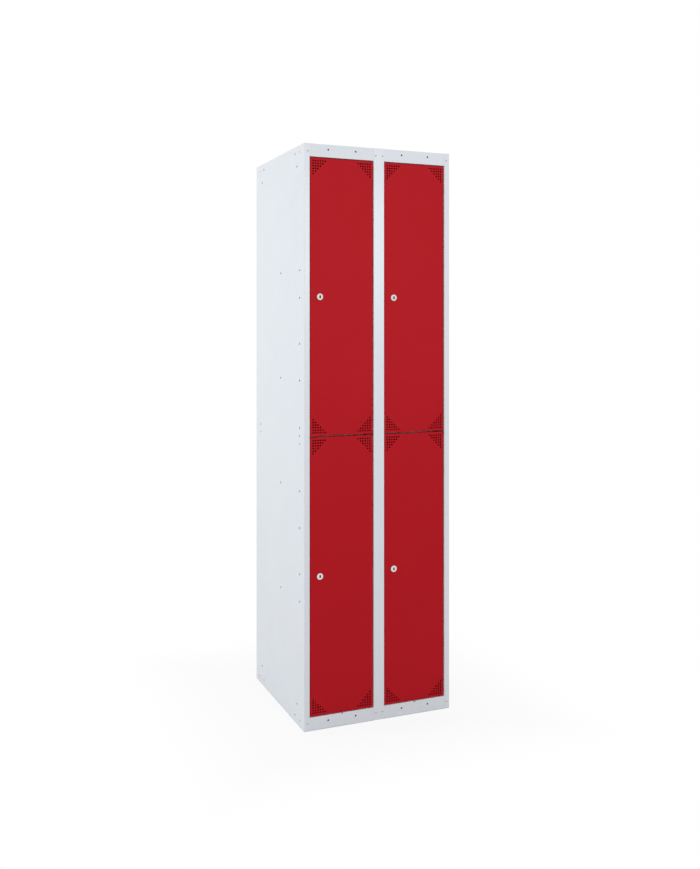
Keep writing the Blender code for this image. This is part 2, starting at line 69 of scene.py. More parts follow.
# Sheet metal
SHEET = 0.0008
DOOR_SHEET = 0.0010
BRACKET_SHEET = 0.0016
BEND = 0.0007  # inside radius of a fold
DOOR_BEND = 0.0003
FOLD_STEPS = 5
STILE_LIP = 0.009
BACK_FLANGE = 0.015
TRAY_RETURN = 0.018
FLANGE = 0.030  # down from the trays and shelves
SHELF_LIP = 0.014  # at the front of a shelf
FLOOR_GAP = 0.0006  # the line of shadow under the side panels
DOOR_LIP = 0.012
CUT = 0.002  # how far a cutter runs past what it cuts
HOLE_STEPS = 20
MERGE = 1e-6  # points closer than this are one
SHARP_ANGLE = math.radians(35)  # folds and rounds turn less than this from face to face, cut edges more

# Fixing holes in the uprights, for shelves that divide the height into two to five tiers
FIXING_RADIUS = 0.0035
CORNER_FIXING_RADIUS = 0.0033
FLANGE_FIXING_RADIUS = 0.0050  # wider, so that a screw finds its way in
FIXING_SPAN = 1.710  # the height that the shelves divide
FIXING_STEP = 0.025  # between the three front holes of the middle shelf
FIXING_FRONT = 0.042  # from the front edge
FIXING_MIDDLE = 0.227  # from the front edge
FIXING_REAR = 0.052  # from the back edge
CORNER_FIXINGS = ((0.088, 0.021), (0.068, 0.063))  # from the front or back edge, and from the end

# Holes in the headers and plinths, and the notch in the plinths' fold
TRAY_HOLE_RADIUS = 0.0028
TRAY_HOLE_SPACING = 0.092
TRAY_HOLE_DROP = 0.016
NOTCH_RADIUS = 0.003

# Doors
VENT_RADIUS = 0.0026
VENT_PITCH = 0.008
VENT_MARGIN = 0.010
VENT_ROWS = 6

# Fastenings and hinges
SCREW_HEAD_RADIUS = 0.0032
SCREW_HEAD = 0.0013
SCREW_SLOT = 0.0009
SLOT_REACH = 1.4  # of a cross recess, as a share of the head's radius
SLOT_DEPTH = 0.8  # as a share of the head's height
DOME_EDGE = 0.25  # upright edge of a domed head, as a share of its height
DOME_STEPS = 6
SCREW_SHANK = 0.0016
SCREW_LENGTH = 0.005
RIVET_RADIUS = 0.0034
RIVET_HEAD = 0.0011
RIVET_BORE = 0.0013  # left by the mandrel
RIVET_LIP = 0.9  # height of the bore's edge, as a share of the head's
RIVET_CROWN = 1.2  # where the dome begins, as a share of the bore's radius
RIVET_INSET = 0.040  # of a corner rivet from the front or back edge
RIVET_RISE = 0.021  # of a corner rivet from the end
RIVET_STEPS = 24
BACK_RIVETS = 9  # up each seam of the back
PIN_RADIUS = 0.0025
PIN_COLLAR_RADIUS = 0.0045
TOP_COLLAR = 0.0016  # height of the top pin's collar
MIDDLE_COLLAR = (0.0011, 0.0017)  # the foot and head of the middle pin's collar, above the shelf
COLLAR_GAP = 0.0003  # between the bottom pin's collar and its neighbours
PIN_CHAMFER = 0.0006
PIN_STEPS = 32
BRACKET_CORNER = 0.003

# Cam locks, along the axis from the door's face
RIM_RADIUS = 0.0102
RIM_FACE = 0.0028
RIM_EASE = 0.0011
MOUTH_RADIUS = 0.00715
PLUG_HEAD_RADIUS = 0.0070
PLUG_HEAD = 0.0014
PLUG_RADIUS = 0.0055
PLUG_EASE = 0.0003
BORE_RADIUS = 0.0057
BARREL_RADIUS = 0.0080
THREAD_PITCH = 0.0010
THREAD_DEPTH = 0.0005
NUT_FLATS = 0.0106  # from the axis
NUT_HEIGHT = 0.0035
NUT_CHAMFER = 0.0002  # inside the flats
CAM_PLACE = 0.0185  # front of the cam
CAM_SHEET = 0.0020
PLAY = 0.00005  # between faces that turn on each other
CAM_WIDTH = 0.014
CAM_LENGTH = 0.042
CAM_CORNER = 0.003
CAM_EASE = 0.0003
CAM_STEPS = 16  # round its head
TAIL = 0.006  # square end of the plug that drives the cam
KEYWAY_WIDTH = 0.0034
KEYWAY_HEIGHT = 0.0088
KEYWAY_DEPTH = 0.0100
KEYWAY_RIB = 0.0010
KEY_GUIDE_WIDTH = 0.0052  # the shallow recess that leads the key in
KEY_GUIDE_HEIGHT = 0.0094
KEY_GUIDE_DEPTH = 0.0016
KEY_GUIDE_ROUND = 0.9  # radius of its corners, as a share of half its width
CAM_HEAD_RADIUS = 0.0052
CAM_HEAD = 0.0020
CAM_SCREW_RADIUS = 0.0015
CAM_SCREW_LENGTH = 0.006
CAM_SCREW_SLOT = 0.0012
LOCK_STEPS = 64

# The photograph's camera: level, with its picture plane upright, in a picture of 700 by 869 pixels
PICTURE_HEIGHT = 869
FOCAL_PIXELS = 969.3
HORIZON_PIXEL = 328.0
CAMERA_PLACE = (-1.249, -3.039, 1.234)
CAMERA_TURN = math.radians(22.41)
SENSOR = 36.0

# Finishes and studio
WAVE_PITCH = 0.314  # between the bands of a wave texture at scale 1
AMBIENT = 0.865  # light of the white surround
FLOOR_REACH = 30.0  # from the middle to the edges
NEAR_WHITE = 0.88  # share of plain white in the floor beside the locker
SHADOW_REACH = 0.5  # from the locker to where the floor is all white

FORWARD = Matrix.Rotation(math.pi / 2, 4, "X")  # a shape made along z points its +z out of the locker's front
BACKWARD = Matrix.Rotation(-math.pi / 2, 4, "X")
ACROSS = Matrix.Rotation(math.pi / 2, 4, "Z") @ Matrix.Rotation(math.pi / 2, 4, "X")  # x, y, z become y, z, x


def linear(code):
    """A hex sRGB colour as linear RGBA."""
    channels = [int(code[i : i + 2], 16) / 255 for i in (1, 3, 5)]
    return [c / 12.92 if c <= 0.04045 else ((c + 0.055) / 1.055) ** 2.4 for c in channels] + [1]


def add_node(tree, kind, inputs=None, **settings):
    """A node with its settings. Each input is a value, or the output that feeds it."""
    node = tree.nodes.new(kind)
    for name, value in settings.items():
        setattr(node, name, value)
    for name, value in (inputs or {}).items():
        if isinstance(value, bpy.types.NodeSocket):
            tree.links.new(value, node.inputs[name])
        else:
            node.inputs[name].default_value = value
    return node


def new_material(name):
    """An empty node material with its tree and output."""
    material = bpy.data.materials.new(name)
    material.use_nodes = True
    tree = material.node_tree
    tree.nodes.clear()
    return material, tree, add_node(tree, "ShaderNodeOutputMaterial")


def powder_coat(name, code, deep_code, roughness, shine):
    """Polyester powder coat, sprayed on steel sheet and baked.

    It gives an even satin colour with soft, slightly broken reflections. Its orange peel is about 2 mm
    across, drawn at 5 mm so that it can show. The film's thickness drifts over a hand's width, and the sheet
    under it is never quite flat, which bends reflections over the length of a panel.
    """
    material, tree, output = new_material(name)
    place = add_node(tree, "ShaderNodeTexCoord").outputs["Object"]
    peel = add_node(tree, "ShaderNodeTexNoise", {"Vector": place, "Scale": 1 / 0.005, "Detail": 2.0})
    film = add_node(tree, "ShaderNodeTexNoise", {"Vector": place, "Scale": 1 / 0.12, "Detail": 3.0})
    sheet = add_node(tree, "ShaderNodeTexNoise", {"Vector": place, "Scale": 1 / 0.45, "Detail": 0.0})
    tint = add_node(
        tree, "ShaderNodeMix",
        {"Factor": film.outputs["Fac"], "A": linear(code), "B": linear(deep_code)},
        data_type="RGBA",
    )
    gloss = add_node(
        tree, "ShaderNodeMapRange",
        {"Value": film.outputs["Fac"], "To Min": roughness - 0.04, "To Max": roughness + 0.04},
    )
    waves = add_node(
        tree, "ShaderNodeBump", {"Height": sheet.outputs["Fac"], "Strength": 0.5, "Distance": 0.0015}
    )
    grain = add_node(
        tree, "ShaderNodeBump",
        {
            "Height": peel.outputs["Fac"],
            "Normal": waves.outputs["Normal"],
            "Strength": 0.35,
            "Distance": 0.00008,
        },
    )
    shader = add_node(
        tree, "ShaderNodeBsdfPrincipled",
        {
            "Base Color": tint.outputs["Result"],
            "Roughness": gloss.outputs["Result"],
            "Specular IOR Level": shine,
            "Normal": grain.outputs["Normal"],
        },
    )
    tree.links.new(shader.outputs["BSDF"], output.inputs["Surface"])
    return material


def nickel_plate():
    """Nickel plate on die-cast zinc, turned on its face.

    It gives a bright, faintly warm metal with fine rings about the lock's axis. The rings are about 0.1 mm
    apart, drawn at 0.8 mm so that they can show.
    """
    material, tree, output = new_material("nickel_plate")
    place = add_node(tree, "ShaderNodeTexCoord").outputs["Object"]
    rings = add_node(
        tree, "ShaderNodeTexWave", {"Vector": place, "Scale": WAVE_PITCH / 0.0008, "Distortion": 0.4},
        wave_type="RINGS", rings_direction="Z",
    )
    smears = add_node(tree, "ShaderNodeTexNoise", {"Vector": place, "Scale": 1 / 0.004, "Detail": 3.0})
    gloss = add_node(
        tree, "ShaderNodeMapRange", {"Value": smears.outputs["Fac"], "To Min": 0.16, "To Max": 0.30}
    )
    turning = add_node(
        tree, "ShaderNodeBump", {"Height": rings.outputs["Fac"], "Strength": 0.25, "Distance": 0.00003}
    )
    tint = add_node(
        tree, "ShaderNodeMix",
        {"Factor": smears.outputs["Fac"], "A": linear("#E8E6E2"), "B": linear("#DAD7D2")},
        data_type="RGBA",
    )
    shader = add_node(
        tree, "ShaderNodeBsdfPrincipled",
        {
            "Base Color": tint.outputs["Result"],
            "Metallic": 1.0,
            "Roughness": gloss.outputs["Result"],
            "Normal": turning.outputs["Normal"],
        },
    )
    tree.links.new(shader.outputs["BSDF"], output.inputs["Surface"])
    return material


def zinc_plate():
    """Zinc electroplate, passivated, on pressed and turned steel.

    It gives a dull silver with a faint blue and straw bloom in patches a few millimetres across.
    """
    material, tree, output = new_material("zinc_plate")
    place = add_node(tree, "ShaderNodeTexCoord").outputs["Object"]
    bloom = add_node(tree, "ShaderNodeTexNoise", {"Vector": place, "Scale": 1 / 0.006, "Detail": 2.0})
    grit = add_node(tree, "ShaderNodeTexNoise", {"Vector": place, "Scale": 1 / 0.0008, "Detail": 2.0})
    tint = add_node(
        tree, "ShaderNodeMix",
        {"Factor": bloom.outputs["Fac"], "A": linear("#B3BAC2"), "B": linear("#C2BDAE")},
        data_type="RGBA",
    )
    gloss = add_node(
        tree, "ShaderNodeMapRange", {"Value": grit.outputs["Fac"], "To Min": 0.30, "To Max": 0.50}
    )
    pits = add_node(
        tree, "ShaderNodeBump", {"Height": grit.outputs["Fac"], "Strength": 0.3, "Distance": 0.00003}
    )
    shader = add_node(
        tree, "ShaderNodeBsdfPrincipled",
        {
            "Base Color": tint.outputs["Result"],
            "Metallic": 1.0,
            "Roughness": gloss.outputs["Result"],
            "Normal": pits.outputs["Normal"],
        },
    )
    tree.links.new(shader.outputs["BSDF"], output.inputs["Surface"])
    return material


def black_oxide():
    """Black oxide on steel, oiled.

    It gives the hinge parts a matt near-black, a little browner and duller in patches. In the stile
    screws' recesses it is painted shade.
    """
    material, tree, output = new_material("black_oxide")
    place = add_node(tree, "ShaderNodeTexCoord").outputs["Object"]
    patches = add_node(tree, "ShaderNodeTexNoise", {"Vector": place, "Scale": 1 / 0.004, "Detail": 3.0})
    tint = add_node(
        tree, "ShaderNodeMix",
        {"Factor": patches.outputs["Fac"], "A": linear("#232427"), "B": linear("#2E2A27")},
        data_type="RGBA",
    )
    gloss = add_node(
        tree, "ShaderNodeMapRange", {"Value": patches.outputs["Fac"], "To Min": 0.45, "To Max": 0.65}
    )
    shader = add_node(
        tree, "ShaderNodeBsdfPrincipled",
        {"Base Color": tint.outputs["Result"], "Metallic": 0.5, "Roughness": gloss.outputs["Result"]},
    )
    tree.links.new(shader.outputs["BSDF"], output.inputs["Surface"])
    return material


def keyway_painted_shade():
    """Painted shade inside a keyway: a near-black on its wafers that stands in for the shade deep in the
    slot.

    It gives the keyway its dark mouth.
    """
    material, tree, output = new_material("keyway_painted_shade")
    place = add_node(tree, "ShaderNodeTexCoord").outputs["Object"]
    # The wafers are 0.7 mm thick, and lie across the keyway one behind the other.
    wafers = add_node(
        tree, "ShaderNodeTexWave", {"Vector": place, "Scale": WAVE_PITCH / 0.0014},
        wave_type="BANDS", bands_direction="Z",
    )
    tint = add_node(
        tree, "ShaderNodeMix",
        {"Factor": wafers.outputs["Fac"], "A": linear("#0D0C0C"), "B": linear("#1C1915")},
        data_type="RGBA",
    )
    shader = add_node(
        tree, "ShaderNodeBsdfPrincipled",
        {"Base Color": tint.outputs["Result"], "Roughness": 0.7, "Specular IOR Level": 0.2},
    )
    tree.links.new(shader.outputs["BSDF"], output.inputs["Surface"])
    return material


# The finishes here take the names of the record's slots.
for plain in list(bpy.data.materials):
    bpy.data.materials.remove(plain)
GREY = powder_coat("grey_powder_coat", "#DBE0E6", "#D7DCE2", 0.34, 0.30)
RED = powder_coat("red_powder_coat", "#B2101D", "#AC101B", 0.60, 0.10)
NICKEL = nickel_plate()
ZINC = zinc_plate()
BLACK = black_oxide()
# The keyway's near-black finish is painted shade.
KEYWAY_SHADE = keyway_painted_shade()


def mesh_of(bm):
    mesh = bpy.data.meshes.new("mesh")
    bm.to_mesh(mesh)
    bm.free()
    return mesh


def add_box(bm, low, high):
    low, high = Vector(low), Vector(high)
    size = Matrix.Diagonal((*(high - low), 1))
    bmesh.ops.create_cube(bm, size=1, matrix=Matrix.Translation((low + high) / 2) @ size)


def add_round(bm, at, radius, length, along):
    """A cylinder with its middle at a point, as a cutter for a hole."""
    turn = {"x": Matrix.Rotation(math.pi / 2, 4, "Y"), "y": Matrix.Rotation(math.pi / 2, 4, "X")}
    bmesh.ops.create_cone(
        bm, cap_ends=True, segments=HOLE_STEPS, radius1=radius, radius2=radius, depth=length,
        matrix=Matrix.Translation(at) @ turn.get(along, Matrix.Identity(4)),
    )


def add_prism(bm, outline, low, high):
    """An outline in x and y, drawn out along z."""
    base = bm.faces.new([bm.verts.new((x, y, low)) for x, y in outline])
    raised = bmesh.ops.extrude_face_region(bm, geom=[base])["geom"]
    top = [item for item in raised if isinstance(item, bmesh.types.BMVert)]
    bmesh.ops.translate(bm, verts=top, vec=(0, 0, high - low))
    bmesh.ops.recalc_face_normals(bm, faces=bm.faces)


def rounded_line(corners, radius, steps=FOLD_STEPS):
    """The line through corners of any angle, each eased to an arc."""
    corners = [Vector(corner) for corner in corners]
    points = [corners[0]]
    for before, corner, after in zip(corners, corners[1:], corners[2:]):
        inward = (before - corner).normalized()
        onward = (after - corner).normalized()
        half = inward.angle(onward) / 2
        centre = corner + (inward + onward).normalized() * radius / math.sin(half)
        start = corner + inward * radius / math.tan(half) - centre
        end = corner + onward * radius / math.tan(half) - centre
        sweep = math.pi - 2 * half
        for step in range(steps + 1):
            part = step / steps * sweep
            points.append(centre + (start * math.sin(sweep - part) + end * math.sin(part)) / math.sin(sweep))
    return points + [corners[-1]]


def draw_out(bm, edges, by):
    """Pull edges out into faces. It returns the edges at the far side."""
    drawn = bmesh.ops.extrude_edge_only(bm, edges=edges)["geom"]
    moved = [item for item in drawn if isinstance(item, bmesh.types.BMVert)]
    bmesh.ops.translate(bm, verts=moved, vec=by)
    return [edge for edge in bm.edges if all(vert in moved for vert in edge.verts)]


def modified(data, *steps):
    """The mesh that a curve or mesh becomes through modifiers, each a kind and its settings."""
    thing = bpy.data.objects.new("shape", data)
    bpy.context.scene.collection.objects.link(thing)
    for kind, settings in steps:
        modifier = thing.modifiers.new(kind, kind)
        for name, value in settings.items():
            setattr(modifier, name, value)
    graph = bpy.context.evaluated_depsgraph_get()
    mesh = bpy.data.meshes.new_from_object(thing.evaluated_get(graph))
    bpy.data.objects.remove(thing)
    return mesh


def thicken(thickness):
    settings = {"thickness": thickness, "offset": -1, "use_even_offset": True, "use_quality_normals": True}
    return "SOLIDIFY", settings


def carve(mesh, *cutters):
    """Cut shapes from a mesh."""
    for bm in cutters:
        tool = bpy.data.objects.new("cutter", mesh_of(bm))
        bpy.context.scene.collection.objects.link(tool)
        mesh = modified(mesh, ("BOOLEAN", {"operation": "DIFFERENCE", "object": tool}))
        bpy.data.objects.remove(tool)
    return mesh


def folded_sheet(corners, length, thickness=SHEET, side_flange=0, round_ends=0):
    """A sheet folded along a line and drawn out along z. Its metal lies to the left of the line.

    A side flange turns the two ends of the line's longest stretch over to its left. Round ends ease the two
    corners at the end of the line.
    """
    bm = bmesh.new()
    line = [bm.verts.new((*point, 0)) for point in rounded_line(corners, BEND + thickness)]
    edges = [bm.edges.new(pair) for pair in zip(line, line[1:])]
    near = max(edges, key=lambda edge: edge.calc_length())
    drawn = draw_out(bm, edges, (0, 0, length))
    far = max(drawn, key=lambda edge: edge.calc_length())
    if side_flange:
        ahead = (near.verts[1].co - near.verts[0].co).normalized()
        for root in (near, far):
            draw_out(bm, [root], Vector((-ahead.y, ahead.x, 0)) * side_flange)
    if round_ends:
        last = line[-1].co.xy
        tips = [vert for vert in bm.verts if (vert.co.xy - last).length < CUT / 100]
        bmesh.ops.bevel(
            bm, geom=tips, offset=round_ends, offset_type="OFFSET", segments=4, profile=0.5, affect="VERTICES"
        )
    bmesh.ops.recalc_face_normals(bm, faces=bm.faces)
    return modified(mesh_of(bm), thicken(thickness))


def turned(profile, steps=LOCK_STEPS, ring=False):
    """A profile of (radius, height) turned about z. A ring's profile closes on itself."""
    bm = bmesh.new()
    line = [bm.verts.new((radius, 0, height)) for radius, height in profile]
    pairs = list(zip(line, line[1:] + line[:1] if ring else line[1:]))
    edges = [bm.edges.new(pair) for pair in pairs]
    bmesh.ops.spin(
        bm, geom=line + edges, cent=(0, 0, 0), axis=(0, 0, 1), angle=2 * math.pi, steps=steps, use_merge=True
    )
    bmesh.ops.remove_doubles(bm, verts=bm.verts, dist=MERGE)
    bmesh.ops.recalc_face_normals(bm, faces=bm.faces)
    return mesh_of(bm)


def flat_plate(outlines, thickness, ease):
    """A plate with eased edges, lying in x and y. Outlines after the first are holes."""
    curve = bpy.data.curves.new("outline", "CURVE")
    curve.dimensions = "2D"
    curve.fill_mode = "BOTH"
    curve.extrude = thickness / 2 - ease
    curve.bevel_depth = ease
    curve.bevel_resolution = 1
    curve.offset = -ease
    for points in outlines:
        spline = curve.splines.new("POLY")
        spline.points.add(len(points) - 1)
        spline.use_cyclic_u = True
        for point, (x, y) in zip(spline.points, points):
            point.co = (x, y, 0, 1)
    bm = bmesh.new()
    bm.from_mesh(modified(curve))
    bmesh.ops.remove_doubles(bm, verts=bm.verts, dist=MERGE)
    return mesh_of(bm)


def copies(mesh, places):
    """One mesh with a copy at each place, given as matrices."""
    bm = bmesh.new()
    for place in places:
        known = len(bm.verts)
        bm.from_mesh(mesh)
        bm.verts.ensure_lookup_table()
        bmesh.ops.transform(bm, matrix=place, verts=bm.verts[known:])
    return mesh_of(bm)


def piece(name, mesh, material, body, nodes=(), at=Matrix.Identity(4)):
    """A shown piece: smooth over its folds and rounds, sharp at its cut edges."""
    if not mesh.materials:
        mesh.materials.append(material)
    mesh.shade_smooth()
    mesh.set_sharp_from_angle(angle=SHARP_ANGLE)
    thing = bpy.data.objects.new(name, mesh)
    bpy.context.scene.collection.objects.link(thing)
    thing.matrix_world = at
    even = thing.modifiers.new("even_shading", "WEIGHTED_NORMAL")
    even.keep_sharp = True
    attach(thing, body)
    if nodes:
        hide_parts(*nodes)
    return thing


def shelf_fixings():
    """Depth and height of each hole in an upright that a shelf can use."""
    levels = {}
    for tiers in (2, 3, 4, 5):
        levels[tiers] = [MIDDLE + (k / tiers - 0.5) * FIXING_SPAN for k in range(1, tiers)]
    front = sorted({round(level, 6) for row in levels.values() for level in row})
    front += [MIDDLE - FIXING_STEP, MIDDLE + FIXING_STEP]
    places = [(FRONT + FIXING_FRONT, level) for level in front]
    places += [(FRONT + FIXING_MIDDLE, level) for level in levels[5]]
    places.append((BACK - FIXING_REAR, MIDDLE))
    return places


def corner_fixings():
    """Depth and height of each hole at the corners of an upright."""
    places = []
    for inset, rise in CORNER_FIXINGS:
        places += [(y, z) for y in (FRONT + inset, BACK - inset) for z in (rise, TOP - rise)]
    return places


def fixing_cutter(x):
    bm = bmesh.new()
    for y, z in shelf_fixings():
        add_round(bm, (x, y, z), FIXING_RADIUS, SHEET + 2 * CUT, "x")
    for y, z in corner_fixings():
        add_round(bm, (x, y, z), CORNER_FIXING_RADIUS, SHEET + 2 * CUT, "x")
    return bm


def stile_ends(low, high):
    """The cutter for the stile's return and lip, which stop at the header and plinth."""
    bm = bmesh.new()
    behind = POST_HIGH.y + CUT
    inner = FRONT + SHEET + BEND / 4
    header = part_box("left_roof_tray")[0].z
    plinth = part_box("left_floor_tray")[1].z
    add_box(bm, (low, inner, -CUT), (high, behind, plinth))
    add_box(bm, (low, inner, header), (high, behind, TOP + CUT))
    return bm


def side_panel(side, sign):
    low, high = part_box(f"{side}_side_panel")
    edge, stile = (low.x, high.x) if sign < 0 else (high.x, low.x)
    lip = POST_HIGH.y
    corners = [
        (edge - sign * BACK_FLANGE, BACK),
        (edge, BACK),
        (edge, FRONT),
        (stile, FRONT),
        (stile, lip),
        (stile + sign * STILE_LIP, lip),
    ]
    mesh = folded_sheet(corners[::-sign], TOP - FLOOR_GAP)
    mesh.transform(Matrix.Translation((0, 0, FLOOR_GAP)))
    span = sorted((stile + sign * (STILE_LIP + CUT), stile - sign * CUT))
    mesh = carve(mesh, stile_ends(*span), fixing_cutter(edge - sign * SHEET / 2))
    name = f"{side}_side_panel"
    piece(f"{name}_pressing", mesh, GREY, CARCASS, [name])


def centre_uprights():
    half = POST_HIGH.x
    lip = POST_HIGH.y
    corners = [(-half + STILE_LIP, lip), (-half, lip), (-half, FRONT)]
    corners += [(-x, y) for x, y in reversed(corners)]
    mesh = carve(folded_sheet(corners, TOP), stile_ends(-half - CUT, half + CUT))
    piece("centre_post_pressing", mesh, GREY, CARCASS, ["centre_post"])

    low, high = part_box("centre_partition")
    mesh = carve(folded_sheet([(high.x, low.y), (high.x, high.y)], TOP), fixing_cutter(0))
    piece("centre_partition_sheet", mesh, GREY, CARCASS, ["centre_partition"])


def opening_centre(side):
    low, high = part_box(f"upper_{side}_door")
    return (low.x + high.x) / 2


def tray(side, level):
    """A roof or floor tray, whose front flange is the header or plinth."""
    name = f"{side}_{level}_tray"
    low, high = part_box(name)
    corners = [
        (high.y, high.z - FLANGE),
        (high.y, high.z),
        (low.y, high.z),
        (low.y, low.z),
        (low.y + TRAY_RETURN, low.z),
    ]
    mesh = folded_sheet(corners, high.x - low.x, side_flange=FLANGE)
    mesh.transform(Matrix.Translation((low.x, 0, 0)) @ ACROSS)
    holes = bmesh.new()
    centre = opening_centre(side)
    for offset in (-TRAY_HOLE_SPACING / 2, TRAY_HOLE_SPACING / 2):
        at = (centre + offset, low.y, high.z - TRAY_HOLE_DROP)
        add_round(holes, at, TRAY_HOLE_RADIUS, 2 * SHEET + CUT, "y")
    pivot = HINGES[f"upper_{side}_door"]
    pivot_level = low.z if level == "roof" else high.z
    add_round(holes, (pivot.x, pivot.y, pivot_level), PIN_RADIUS, 2 * SHEET + CUT, "z")
    if level == "floor":
        add_round(holes, (centre, low.y, high.z), NOTCH_RADIUS, 2 * CUT, "y")
    for y, z in corner_fixings():
        if high.z - FLANGE < z < high.z:
            at = ((low.x + high.x) / 2, y, z)
            add_round(holes, at, FLANGE_FIXING_RADIUS, high.x - low.x + CUT, "x")
    piece(f"{name}_pressing", carve(mesh, holes), GREY, CARCASS, [name])


def middle_shelf(side):
    name = f"{side}_middle_shelf"
    low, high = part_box(name)
    corners = [(high.y, low.z), (high.y, high.z), (low.y, high.z), (low.y, high.z - SHELF_LIP)]
    mesh = folded_sheet(corners, high.x - low.x, side_flange=FLANGE)
    mesh.transform(Matrix.Translation((low.x, 0, 0)) @ ACROSS)
    piece(f"{name}_pressing", mesh, GREY, CARCASS, [name])


def hinge_bracket(side):
    """An angle on the shelf's front lip, whose ear lies in the gap between the two doors."""
    name = f"{side}_hinge_bracket"
    low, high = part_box(name)
    corners = [(high.y, low.z), (high.y, high.z), (low.y, high.z)]
    mesh = folded_sheet(corners, high.x - low.x, thickness=BRACKET_SHEET, round_ends=BRACKET_CORNER)
    mesh.transform(Matrix.Translation((low.x, 0, 0)) @ ACROSS)
    hole = bmesh.new()
    pivot = HINGES[f"upper_{side}_door"]
    add_round(hole, (pivot.x, pivot.y, high.z), PIN_RADIUS, 2 * BRACKET_SHEET + CUT, "z")
    piece(f"{name}_angle", carve(mesh, hole), BLACK, CARCASS, [name])


def hinge_pin(side, place):
    """A turned pin with chamfered ends, and a collar where it carries a door or hangs in the header."""
    name = f"{side}_{place}_hinge_pin"
    low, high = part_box(name)
    door_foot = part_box(f"lower_{side}_door")[0].z
    plinth_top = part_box(f"{side}_floor_tray")[1].z
    collar_top, collar_bottom = {
        "top": (high.z, high.z - TOP_COLLAR),
        "middle": (MIDDLE + MIDDLE_COLLAR[1], MIDDLE + MIDDLE_COLLAR[0]),
        "bottom": (door_foot - COLLAR_GAP, plinth_top + COLLAR_GAP),
    }[place]
    ease = PIN_CHAMFER
    profile = [(0, high.z)]
    if place != "top":
        profile += [(PIN_RADIUS - ease, high.z), (PIN_RADIUS, high.z - ease), (PIN_RADIUS, collar_top)]
    profile += [(PIN_COLLAR_RADIUS, collar_top), (PIN_COLLAR_RADIUS, collar_bottom)]
    profile += [(PIN_RADIUS, collar_bottom), (PIN_RADIUS, low.z + ease)]
    profile += [(PIN_RADIUS - ease, low.z), (0, low.z)]
    pivot = HINGES[f"upper_{side}_door"]
    at = Matrix.Translation((pivot.x, pivot.y, 0))
    piece(f"{name}_turning", turned(profile, PIN_STEPS), BLACK, CARCASS, [name], at)


def domed_head(radius, height, base):
    """The profile of a low dome, from its crown to the foot of its edge."""
    edge = DOME_EDGE * height
    crown = height - edge
    sphere = (radius**2 + crown**2) / (2 * crown)
    points = []
    for step in range(DOME_STEPS + 1):
        out = radius * step / DOME_STEPS
        points.append((out, base + edge + crown - sphere + math.sqrt(sphere**2 - out**2)))
    return points + [(radius, base)]


def cross_slot(width, reach, top, depth):
    """The cutter for a cross recess in a screw's head."""
    near, far = width / 2, reach / 2
    arm = [(far, -near), (far, near), (near, near)]
    outline = []
    for _ in range(4):
        outline += arm
        arm = [(-y, x) for x, y in arm]
    bm = bmesh.new()
    add_prism(bm, outline, top - depth, top + CUT)
    return bm


def screw(head_radius, head, shank, length, slot):
    """A pan-head screw along z, with its seat at z 0."""
    profile = domed_head(head_radius, head, 0) + [(shank, 0), (shank, -length), (0, -length)]
    recess = cross_slot(slot, SLOT_REACH * head_radius, head, SLOT_DEPTH * head)
    return carve(turned(profile, PIN_STEPS), recess)


def stile_screws():
    """Screws painted with the stiles. Their recess is drawn in black, as painted shade."""
    mesh = screw(SCREW_HEAD_RADIUS, SCREW_HEAD, SCREW_SHANK, SCREW_LENGTH, SCREW_SLOT)
    mesh.materials.append(GREY)
    # The second finish paints shade into the recess.
    mesh.materials.append(BLACK)
    # The recess is what is steep or deep within the head.
    reach = 0.75 * SCREW_HEAD_RADIUS
    deep = 0.3 * SCREW_HEAD
    for face in mesh.polygons:
        within = 0 < face.center.z < SCREW_HEAD and face.center.xy.length < reach
        steep = abs(face.normal.z) < 0.3
        face.material_index = int(within and (steep or face.center.z < deep))
    for side in SIDES:
        for upright in ("stile", "post"):
            for end in ("top", "bottom"):
                name = f"{side}_{upright}_{end}_screw"
                low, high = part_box(name)
                at = Matrix.Translation(((low.x + high.x) / 2, FRONT, (low.z + high.z) / 2)) @ FORWARD
                piece(f"{name}_pan_head", mesh, GREY, CARCASS, [name], at)


